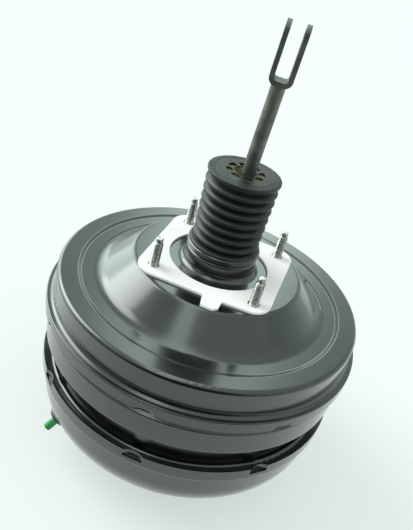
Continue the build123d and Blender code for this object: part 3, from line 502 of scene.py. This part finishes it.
def bootRadius(z):
    # full round crests and narrow valleys, each crest a little smaller than the one above
    turn = (boot["firstCrest"] - z) / boot["pitch"]
    crest = boot["crestRadius"] - boot["taper"] * max(0.0, turn)
    wave = 0.5 + 0.5 * math.cos(2 * math.pi * turn)
    return crest - boot["foldDepth"] * (1 - wave ** boot["roundness"])


def bootOutline():
    # section of the boot: collar, folds, end disc, hub under it, the folds' inner side, collar's inner side
    low = boot["collarLow"]
    discLow = boot["topZ"] - boot["discThick"]
    ventLow = boot["topZ"] - boot["ventThick"]
    hubLow = discLow - boot["hubDeep"]
    ring = boot["ringRadius"]
    lastValley = boot["firstCrest"] - boot["pitch"] * (boot["folds"] - 0.5)
    firstValley = boot["firstCrest"] + boot["pitch"] / 2
    side = boot["collarRadius"]
    high = boot["collarHigh"]
    outer = [(side - 0.3, low), (side, low + 0.3), (side, high), (side - 0.5, high + 1.0)]
    count = boot["folds"] * boot["steps"] * 2
    bellows = []
    for i in range(count + 1):
        z = lastValley + (firstValley - 0.6 - lastValley) * i / count
        bellows.append((bootRadius(z), z))
    outer += bellows[2:]
    inner = [(r - boot["wall"], z) for r, z in bellows[2:]]
    disc = roundedOutline([
        (bellows[-1][0], bellows[-1][1]),
        (boot["discRadius"] - 1.0, discLow, 1.0),
        (boot["discRadius"], discLow + 1.4, 1.2),
        (boot["discRadius"], boot["topZ"] - 0.8, 1.6),
        (ring + 0.6, boot["topZ"], 1.5),
        (ring + 0.2, boot["topZ"] - 0.35, 0.2),
        (ring - 0.2, boot["topZ"] - 0.35, 0.2),
        (ring - 0.6, boot["topZ"] - 0.05, 0.3),
        (boot["stepRadius"], boot["topZ"] - 0.05, 0.5),
        (boot["ventInner"] - 0.5, boot["topZ"] - 0.5, 0.4),
        (boot["holeRadius"] + 0.4, boot["topZ"], 0.3),
        (boot["holeRadius"], boot["topZ"] - 0.4, 0.3),
        (boot["holeRadius"], ventLow + 0.4, 0.3),
        (boot["holeRadius"] + 0.4, ventLow, 0.3),
        (boot["hubInner"], ventLow, 0.4),
        (boot["hubInner"], hubLow, 0.4),
        (boot["hubOuter"], hubLow, 0.4),
        (boot["hubOuter"], discLow - 1.5, 0.5),
    ])[1:]
    foot = [(boot["collarInner"], boot["neckTop"]), (boot["collarInner"], low)]
    return outer + disc + inner[::-1] + foot


def ventCutters():
    # rounded sector prisms, one for each window in the end disc
    form = bmesh.new()
    half = math.radians(boot["ventTurn"] / 2)
    inner = boot["ventInner"]
    outer = boot["ventOuter"]
    low = boot["topZ"] - boot["discThick"] - 2
    high = boot["topZ"] + 2
    for k in range(boot["ventCount"]):
        middle = 2 * math.pi * (k + 0.5) / boot["ventCount"]
        flat = roundedOutline([
            (inner * math.cos(half), -inner * math.sin(half), boot["ventRound"]),
            (outer * math.cos(half), -outer * math.sin(half), boot["ventRound"]),
            (outer + 0.1, 0.0),
            (outer * math.cos(half), outer * math.sin(half), boot["ventRound"]),
            (inner * math.cos(half), inner * math.sin(half), boot["ventRound"]),
            (inner, 0.0),
        ], 4)
        turn = Matrix.Rotation(middle, 3, "Z")
        lower = [form.verts.new(turn @ Vector((x * mm, y * mm, low * mm))) for x, y in flat]
        upper = [form.verts.new(turn @ Vector((x * mm, y * mm, high * mm))) for x, y in flat]
        form.faces.new(lower[::-1])
        form.faces.new(upper)
        for i in range(len(flat)):
            j = (i + 1) % len(flat)
            form.faces.new((lower[i], lower[j], upper[j], upper[i]))
    bmesh.ops.recalc_face_normals(form, faces=form.faces)
    mesh = bpy.data.meshes.new("ventCutters")
    form.to_mesh(mesh)
    form.free()
    return mesh


def applyModifiers(piece):
    bpy.context.view_layer.update()
    graph = bpy.context.evaluated_depsgraph_get()
    done = bpy.data.meshes.new_from_object(piece.evaluated_get(graph))
    piece.modifiers.clear()
    piece.data = done


def makeBoot():
    mesh = latheMesh("bellowsBoot", bootOutline(), boot["around"])
    piece = meshPiece("bellows_boot", mesh, "boot_rubber")
    cutter = bpy.data.objects.new("ventCutter", ventCutters())
    bpy.context.scene.collection.objects.link(cutter)
    cut = piece.modifiers.new("vents", "BOOLEAN")
    cut.operation = "DIFFERENCE"
    cut.solver = "EXACT"
    cut.object = cutter
    soften = piece.modifiers.new("soften", "BEVEL")
    soften.width = boot["edgeRound"] * mm
    soften.segments = 2
    soften.limit_method = "ANGLE"
    soften.angle_limit = math.radians(50)
    applyModifiers(piece)
    bpy.data.objects.remove(cutter)
    piece.data.materials.clear()
    piece.data.materials.append(finishes["boot_rubber"])
    piece.data.shade_smooth()
    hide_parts("dust_boot")
    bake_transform(piece)
    print("boot:", len(piece.data.polygons), "faces")


makeBoot()

foam = {
    "inner": 10.3,
    "outer": 17.3,
    "low": 66.0,
    "middle": 72.0,
    "high": 83.0,
    "cell": 1.5,
    "cellShare": 0.55,  # share of a cell that its pit takes
    "depth": 0.6,
    "around": 220,
    "rings": 26,
}


def makeFoam():
    # ring of open cell foam: the top, seen through the vents, is pitted cell by cell
    inner = foam["inner"]
    outer = foam["outer"]
    outline = [(inner, foam["low"]), (outer, foam["low"]), (outer, foam["middle"])]
    for i in range(foam["rings"] + 1):
        outline.append((outer + (inner - outer) * i / foam["rings"], foam["high"]))
    outline.append((inner, foam["middle"]))
    mesh = latheMesh("foamRing", outline, foam["around"])
    for vertex in mesh.vertices:
        if vertex.co.z > (foam["high"] - 0.5) * mm:
            spot = vertex.co / (foam["cell"] * mm)
            distances, _ = noise.voronoi(spot)
            pit = max(0.0, foam["cellShare"] - distances[0]) / foam["cellShare"]
            vertex.co.z -= foam["depth"] * mm * pit
    piece = meshPiece("foam_ring", mesh, "filter_foam", "piston")
    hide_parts("air_filter")


makeFoam()

grommet = {
    "azimuth": -136.0,
    "tilt": 47.0,
    "sweep": 38.0,
    "cornerRadius": 128.0,
    "frontZ": -173.9,
    "top": 5.0,
    "sheet": 1.6,
    "bore": 3.6,
    "hole": 7.3,
    "flange": 2.5,
    "lip": 1.6,
    "footLip": 2.3,
    "around": 96,
}


def makeGrommet():
    # rubber ring in the vacuum port's hole, with a rounded lip on each side of the sheet
    top = grommet["top"]
    under = top - grommet["sheet"]
    hole = grommet["hole"]
    bore = grommet["bore"]
    lip = grommet["lip"]
    outline = roundedOutline([
        (bore, under - 3.0, 0.5),
        (hole + lip, under - 2.2, 0.8),
        (hole + lip, under - 0.05, 0.4),
        (hole, under - 0.05),
        (hole, top + 0.05),
        (hole + grommet["footLip"], top + 0.05, 0.4),
        (hole + 1.7, top + grommet["flange"], 1.0),
        (bore + lip, top + grommet["flange"] - 0.1, 0.3),
        (bore, top + grommet["flange"] - 1.0, 0.5),
    ])
    mesh = latheMesh("portGrommet", outline, grommet["around"])
    turn = math.radians(grommet["azimuth"])
    tilt = math.radians(grommet["tilt"])
    away = Vector((math.cos(turn), math.sin(turn), 0))
    out = away * math.cos(tilt) - Vector((0, 0, math.sin(tilt)))
    centre = away * (grommet["cornerRadius"] - grommet["sweep"])
    centre.z = grommet["frontZ"] + grommet["sweep"]
    place = (centre + out * grommet["sweep"]) * mm
    side = Vector((-math.sin(turn), math.cos(turn), 0))
    turned = Matrix((side, out.cross(side), out)).transposed().to_4x4()
    mesh.transform(Matrix.Translation(place) @ turned)
    piece = meshPiece("port_rubber_ring", mesh, "seal_rubber", "housing")
    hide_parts("port_grommet")


makeGrommet()
print("foam and grommet done")


def threadTree():
    # a stud blank gets its thread ridge, then is set round the axis
    tree = bpy.data.node_groups.new("threadedStuds", "GeometryNodeTree")
    face = tree.interface
    face.new_socket("Geometry", in_out="INPUT", socket_type="NodeSocketGeometry")
    names = ("Pitch", "Core Radius", "Ridge", "Ridge Share", "Turns", "Start")
    names += ("Circle Radius", "First Angle", "Lead")
    for name in names:
        face.new_socket(name, in_out="INPUT", socket_type="NodeSocketFloat")
    face.new_socket("Count", in_out="INPUT", socket_type="NodeSocketInt")
    face.new_socket("Finish", in_out="INPUT", socket_type="NodeSocketMaterial")
    face.new_socket("Geometry", in_out="OUTPUT", socket_type="NodeSocketGeometry")
    given = addNode(tree, "NodeGroupInput").outputs
    times = {"operation": "MULTIPLY"}
    # the ridge: a diamond swept along a helix at the root of the thread
    rise = addNode(tree, "ShaderNodeMath", times, n0=given["Pitch"], n1=given["Turns"])
    helix = addNode(
        tree, "GeometryNodeCurveSpiral", Resolution=32, Rotations=given["Turns"],
        Start_Radius=given["Core Radius"], End_Radius=given["Core Radius"], Height=rise,
    )
    upright = addNode(tree, "GeometryNodeSetCurveNormal", {"mode": "Z_UP"}, Curve=helix)
    across = addNode(tree, "ShaderNodeMath", times, n0=given["Ridge"], n1=2.0)
    along = addNode(tree, "ShaderNodeMath", times, n0=given["Pitch"], n1=given["Ridge Share"])
    diamond = addNode(
        tree, "GeometryNodeCurvePrimitiveQuadrilateral", {"mode": "KITE"}, Width=across,
        Bottom_Height=along, Top_Height=along,
    )
    ridge = addNode(tree, "GeometryNodeCurveToMesh", Curve=upright, Profile_Curve=diamond, Fill_Caps=True)
    lift = addNode(tree, "ShaderNodeCombineXYZ", Z=given["Start"])
    raised = addNode(tree, "GeometryNodeTransform", Geometry=ridge, Translation=lift)
    joined = addNode(tree, "GeometryNodeJoinGeometry")
    tree.links.new(given["Geometry"], joined.inputs[0])
    tree.links.new(raised.outputs[0], joined.inputs[0])
    # the studs' places on their circle
    index = addNode(tree, "GeometryNodeInputIndex")
    share = addNode(tree, "ShaderNodeMath", {"operation": "DIVIDE"}, n0=index, n1=given["Count"])
    turn = addNode(
        tree, "ShaderNodeMath", {"operation": "MULTIPLY_ADD"}, n0=share, n1=math.tau, n2=given["First Angle"],
    )
    cosine = addNode(tree, "ShaderNodeMath", {"operation": "COSINE"}, n0=turn)
    sine = addNode(tree, "ShaderNodeMath", {"operation": "SINE"}, n0=turn)
    placeX = addNode(tree, "ShaderNodeMath", times, n0=cosine, n1=given["Circle Radius"])
    placeY = addNode(tree, "ShaderNodeMath", times, n0=sine, n1=given["Circle Radius"])
    spot = addNode(tree, "ShaderNodeCombineXYZ", X=placeX, Y=placeY)
    points = addNode(tree, "GeometryNodePoints", Count=given["Count"], Position=spot)
    twist = addNode(tree, "ShaderNodeMath", times, n0=index, n1=given["Lead"])
    spin = addNode(tree, "ShaderNodeCombineXYZ", Z=twist)
    placed = addNode(tree, "GeometryNodeInstanceOnPoints", Points=points, Instance=joined, Rotation=spin)
    real = addNode(tree, "GeometryNodeRealizeInstances", Geometry=placed)
    coated = addNode(tree, "GeometryNodeSetMaterial", Geometry=real, Material=given["Finish"])
    addNode(tree, "NodeGroupOutput", Geometry=coated)
    return tree


studForm = {
    "headRadius": 8.0,
    "headHeight": 4.0,
    "collarRadius": 5.0,
    "crestRadius": 3.95,
    "rootRadius": 3.35,
    "tipRadius": 3.0,
    "tipLength": 3.4,
    "groove": 1.1,
    "pitch": 1.25,
    "plain": 0.7,
    "ridgeShare": 0.46,  # half the ridge's foot as a share of the pitch
    "lead": 1.9,  # radians by which each next stud is turned about itself
    "around": 48,
}
# heights run along each stud's own +Z, before the front pair is turned over
studSets = {
    "firewall_studs": {
        "name": "threaded_firewall_studs",
        "headTop": -6.6,
        "shoulder": -0.6,
        "tip": 25.6,
        "flat": 2.4,
        "start": 0.9,
        "turns": 15.9,
        "circle": 61.801,
        "first": 45.0,
        "count": 4,
        "downward": False,
    },
    "master_cylinder_studs": {
        "name": "threaded_cylinder_studs",
        "headTop": 169.3,
        "shoulder": 173.3,
        "tip": 201.9,
        "flat": 0.7,
        "start": 174.8,
        "turns": 17.8,
        "circle": 40.0,
        "first": 90.0,
        "count": 2,
        "downward": True,
    },
}


def studBlank(facts):
    # stud without its thread, along +Z: head, shoulder, root of the thread, relief groove, dog point
    headTop = facts["headTop"]
    headLow = headTop - studForm["headHeight"]
    shoulder = facts["shoulder"]
    plain = shoulder + studForm["plain"]
    tip = facts["tip"]
    grooveHigh = tip - studForm["tipLength"]
    grooveLow = grooveHigh - studForm["groove"]
    root = studForm["rootRadius"]
    point = studForm["tipRadius"]
    outline = roundedOutline([
        (0, headLow),
        (studForm["headRadius"], headLow, 0.8),
        (studForm["headRadius"], headTop, 0.4),
        (studForm["collarRadius"], headTop),
        (studForm["collarRadius"], shoulder, 0.4),
        (studForm["crestRadius"], shoulder),
        (studForm["crestRadius"], plain, 0.3),
        (root, plain + 0.5),
        (root, grooveLow - 0.3),
        (point - 0.4, grooveLow, 0.3),
        (point - 0.4, grooveHigh, 0.3),
        (point, grooveHigh + 0.3, 0.2),
        (point, tip - point + facts["flat"], 0.3),
        (facts["flat"], tip, 0.2),
        (0, tip),
    ])
    return latheMesh(facts["name"], outline, studForm["around"])


def setStuds(node, facts, tree):
    piece = meshPiece(facts["name"], studBlank(facts), "zinc_plate")
    ridges = piece.modifiers.new("thread", "NODES")
    ridges.node_group = tree
    given = {
        "Pitch": studForm["pitch"] * mm,
        "Core Radius": studForm["rootRadius"] * mm,
        "Ridge": (studForm["crestRadius"] - studForm["rootRadius"]) * mm,
        "Ridge Share": studForm["ridgeShare"],
        "Turns": facts["turns"],
        "Start": facts["start"] * mm,
        "Circle Radius": facts["circle"] * mm,
        "First Angle": math.radians(facts["first"]),
        "Lead": studForm["lead"],
        "Count": facts["count"],
        "Finish": finishes["zinc_plate"],
    }
    for item in tree.interface.items_tree:
        if item.in_out == "INPUT" and item.name in given:
            ridges[item.identifier] = given[item.name]
    applyModifiers(piece)
    if facts["downward"]:
        piece.data.transform(Matrix.Rotation(math.pi, 4, "X"))
    piece.data.shade_smooth()
    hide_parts(node)
    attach(piece, "housing")
    print(facts["name"], len(piece.data.polygons), "faces")


studTree = threadTree()
for node, facts in studSets.items():
    setStuds(node, facts, studTree)

springs = {
    "main_return_spring": {
        "name": "main_coil", "joint": "piston_slide", "travel": 32.0, "body": "housing", "heldEnd": "low",
    },
    "rod_return_spring": {
        "name": "rod_coil", "joint": "plunger_slide", "travel": 3.0, "body": "piston", "heldEnd": "low",
    },
    "poppet_spring": {
        "name": "poppet_coil", "joint": "poppet_slide", "travel": 0.5, "body": "piston", "heldEnd": "high",
    },
}


def softCopy(node, name, slotName):
    # the CAD node's mesh with its loose triangles merged, as a piece of its own
    mesh = frame["nodes"][node].data.copy()
    form = bmesh.new()
    form.from_mesh(mesh)
    bmesh.ops.remove_doubles(form, verts=form.verts, dist=1e-6)
    bmesh.ops.recalc_face_normals(form, faces=form.faces)
    form.to_mesh(mesh)
    form.free()
    piece = meshPiece(name, mesh, slotName)
    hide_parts(node)
    return piece


def placeSprings():
    # each coil is a merged copy of its CAD node, set on its body with a mesh of its own
    for node, facts in springs.items():
        piece = softCopy(node, facts["name"], "spring_steel")
        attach(piece, facts["body"])
        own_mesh(piece)


placeSprings()
print("springs done")

diaphragms = {
    "names": {"rear_diaphragm": "rear_rolling_diaphragm", "front_diaphragm": "front_rolling_diaphragm"},
    "heldRim": 6.0,  # the part above its lowest edge that stays with the shells
    "rolling": 12.0,  # the length over which the skin goes over to the piston
}


def placeDiaphragms():
    # each diaphragm is a merged copy of its CAD node, with its place baked into the mesh
    for node, name in diaphragms["names"].items():
        low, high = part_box(node)
        piece = softCopy(node, name, "seal_rubber")
        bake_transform(piece)


placeDiaphragms()
print("diaphragms done")

room = {
    "floorDrop": 0.5,  # millimetres under the lowest point
    "floorHalf": 6.0,  # metres
    "floorGlow": 0.58,  # share of the floor that eyes and mirrors see as plain card
    "darkReflectionFull": -0.5,  # metres towards the camera, from where mirrored surfaces see the floor as a painted dark reflection in place of a table end
    "darkReflectionNone": -0.34,
    "diffuse": 0.76,  # plain level of the light on matte surfaces
    "base": 0.9,  # level of the room that glossy surfaces mirror
    "stripTurn": 0.12,  # a long soft box from far to overhead, a little to the left
    "stripHalf": 0.05,
    "stripFade": 0.19,
    "stripGain": 2.4,
    "stripLow": 0.2,
    "stripHigh": 0.5,
    "windowWay": (-0.93, 0.29, 0.22),
    "windowFade": 0.7,
    "windowFull": 0.96,
    "windowGain": 2.9,
    "darkWay": (0.17, -0.98, 0.03),  # the dim room behind the camera
    "darkFade": 0.64,
    "darkFull": 0.86,
    "darkLevel": 0.03,
    "lamps": {
        "windowSun": {"from": (-0.8, 0.1, 0.6), "angle": 45.0, "power": 1.9},
        "fillSun": {"from": (0.3, -0.2, 0.9), "angle": 80.0, "power": 0.25},
    },
}


def paleCard():
    # matte white card, rolled: nearly even, with a very faint cloud
    finish, tree, place = newFinish("paleCard")
    cloud = addNode(tree, "ShaderNodeTexNoise", Vector=place, Scale=1 / (400.0 * mm), Detail=2.0)
    patch = addNode(tree, "ShaderNodeMapRange", Value=cloud, From_Min=0.3, From_Max=0.7)
    tone = addNode(tree, "ShaderNodeMix", inColour, n0=patch, n6="#eff8f5", n7="#f1faf7")
    card = addNode(
        tree, "ShaderNodeBsdfPrincipled", Base_Color=tone, Roughness=0.9, Specular_IOR_Level=0.2,
    )
    rays = addNode(tree, "ShaderNodeLightPath").outputs
    mirrored = rays["Is Glossy Ray"]
    most = {"operation": "MAXIMUM"}
    seen = addNode(tree, "ShaderNodeMath", most, n0=rays["Is Camera Ray"], n1=mirrored)
    seen = addNode(tree, "ShaderNodeMath", most, n0=seen, n1=rays["Is Transmission Ray"])
    share = addNode(tree, "ShaderNodeMath", {"operation": "MULTIPLY"}, n0=seen, n1=room["floorGlow"])
    glow = addNode(tree, "ShaderNodeEmission", Color=tone, Strength=1.0)
    shown = addNode(tree, "ShaderNodeMixShader", n0=share, n1=card, n2=glow)
    # painted dark reflection: in front of the object the floor shows mirrored rays a dark colour in place of
    # a table end
    along = addNode(tree, "ShaderNodeSeparateXYZ", Vector=place).outputs["Y"]
    beyond = addNode(
        tree, "ShaderNodeMapRange", {"interpolation_type": "SMOOTHSTEP"}, Value=along,
        From_Min=room["darkReflectionFull"], From_Max=room["darkReflectionNone"], To_Min=1.0, To_Max=0.0,
    )
    darkReflectionShare = addNode(tree, "ShaderNodeMath", {"operation": "MULTIPLY"}, n0=beyond, n1=mirrored)
    dark = addNode(tree, "ShaderNodeEmission", Color="#262a29", Strength=1.0)
    surface = addNode(tree, "ShaderNodeMixShader", n0=darkReflectionShare, n1=shown, n2=dark)
    addNode(tree, "ShaderNodeOutputMaterial", Surface=surface)
    return finish


def layFloor():
    form = bmesh.new()
    bmesh.ops.create_grid(form, x_segments=1, y_segments=1, size=room["floorHalf"])
    mesh = bpy.data.meshes.new("floor")
    form.to_mesh(mesh)
    form.free()
    floor = bpy.data.objects.new("floor", mesh)
    floor.location.z = cadLow[2] - room["floorDrop"] * mm
    bpy.context.scene.collection.objects.link(floor)
    mesh.materials.append(paleCard())


def lightWorld():
    # one plain level for matte surfaces, white for the eye, and a studio's soft boxes for mirrored rays
    world = bpy.data.worlds.new("studio")
    bpy.context.scene.world = world
    world.use_nodes = True
    sky = world.node_tree
    sky.nodes.clear()
    soft = {"interpolation_type": "SMOOTHSTEP"}
    towards = {"operation": "DOT_PRODUCT"}
    ahead = addNode(sky, "ShaderNodeTexCoord").outputs["Generated"]
    parts = addNode(sky, "ShaderNodeSeparateXYZ", Vector=ahead).outputs
    # the long soft box from far to overhead
    aside = addNode(sky, "ShaderNodeMath", {"operation": "ADD"}, n0=parts["X"], n1=room["stripTurn"])
    away = addNode(sky, "ShaderNodeMath", {"operation": "ABSOLUTE"}, n0=aside)
    strip = addNode(
        sky, "ShaderNodeMapRange", soft, Value=away,
        From_Min=room["stripHalf"], From_Max=room["stripFade"], To_Min=room["stripGain"], To_Max=0.0,
    )
    high = addNode(
        sky, "ShaderNodeMapRange", soft, Value=parts["Z"],
        From_Min=room["stripLow"], From_Max=room["stripHigh"], To_Min=0.0, To_Max=1.0,
    )
    boxed = addNode(sky, "ShaderNodeMath", {"operation": "MULTIPLY_ADD"}, n0=strip, n1=high, n2=room["base"])
    # the window on the left
    toWindow = addNode(sky, "ShaderNodeVectorMath", towards, n0=ahead, n1=room["windowWay"])
    pane = addNode(
        sky, "ShaderNodeMapRange", soft, Value=toWindow,
        From_Min=room["windowFade"], From_Max=room["windowFull"], To_Min=0.0, To_Max=room["windowGain"],
    )
    lit = addNode(sky, "ShaderNodeMath", {"operation": "ADD"}, n0=boxed, n1=pane)
    # the dim room behind the camera
    toCamera = addNode(sky, "ShaderNodeVectorMath", towards, n0=ahead, n1=room["darkWay"])
    dim = addNode(
        sky, "ShaderNodeMapRange", soft, Value=toCamera,
        From_Min=room["darkFade"], From_Max=room["darkFull"], To_Min=1.0, To_Max=room["darkLevel"],
    )
    level = addNode(sky, "ShaderNodeMath", {"operation": "MULTIPLY"}, n0=lit, n1=dim)
    rays = addNode(sky, "ShaderNodeLightPath").outputs
    clear = addNode(
        sky, "ShaderNodeMath", {"operation": "MAXIMUM"},
        n0=rays["Is Camera Ray"], n1=rays["Is Transmission Ray"],
    )
    plain = addNode(sky, "ShaderNodeBackground", Color="#f6fbfa", Strength=room["diffuse"])
    mirrored = addNode(sky, "ShaderNodeBackground", Color="#dff4ec", Strength=level)
    white = addNode(sky, "ShaderNodeBackground", Color="#eef8f5", Strength=1.0)
    lower = addNode(sky, "ShaderNodeMixShader", n0=rays["Is Glossy Ray"], n1=plain, n2=mirrored)
    either = addNode(sky, "ShaderNodeMixShader", n0=clear, n1=lower, n2=white)
    addNode(sky, "ShaderNodeOutputWorld", Surface=either)


def hangLamps():
    for name, facts in room["lamps"].items():
        light = bpy.data.lights.new(name, "SUN")
        light.angle = math.radians(facts["angle"])
        light.energy = facts["power"]
        lamp = bpy.data.objects.new(name, light)
        lamp.rotation_euler = Vector(facts["from"]).to_track_quat("Z", "Y").to_euler()
        bpy.context.scene.collection.objects.link(lamp)


layFloor()
lightWorld()
hangLamps()
print("floor and light done")

viewpoint = {
    "azimuth": 9.634,
    "elevation": 31.652,
    "roll": -16.407,
    "distance": 637.41,
    "aim": (-20.36, 66.0, -50.8),
    "focalPixels": 639.49,
    "highPixels": 530,
    "sensor": 36.0,
}


def setCamera():
    # stands where the photograph was taken from; the frame is 413 by 530 pixels
    turn = math.radians(viewpoint["azimuth"])
    rise = math.radians(viewpoint["elevation"])
    roll = math.radians(viewpoint["roll"])
    back = Vector((math.sin(turn) * math.cos(rise), -math.cos(turn) * math.cos(rise), math.sin(rise)))
    place = (Vector(viewpoint["aim"]) + back * viewpoint["distance"]) * mm
    ahead = -back
    right = ahead.cross(Vector((0, 0, 1))).normalized()
    down = ahead.cross(right)
    across = right * math.cos(roll) + down * math.sin(roll)
    up = right * math.sin(roll) - down * math.cos(roll)
    camera = bpy.data.objects.new("camera", bpy.data.cameras.new("camera"))
    turned = Matrix((across, up, back)).transposed().to_4x4()
    camera.matrix_world = Matrix.Translation(place) @ turned
    camera.data.sensor_width = viewpoint["sensor"]
    camera.data.lens = viewpoint["focalPixels"] / viewpoint["highPixels"] * viewpoint["sensor"]
    camera.data.clip_start = 0.01
    camera.data.clip_end = 50
    bpy.context.scene.collection.objects.link(camera)
    bpy.context.scene.camera = camera


setCamera()
bpy.context.scene.view_settings.view_transform = "Standard"
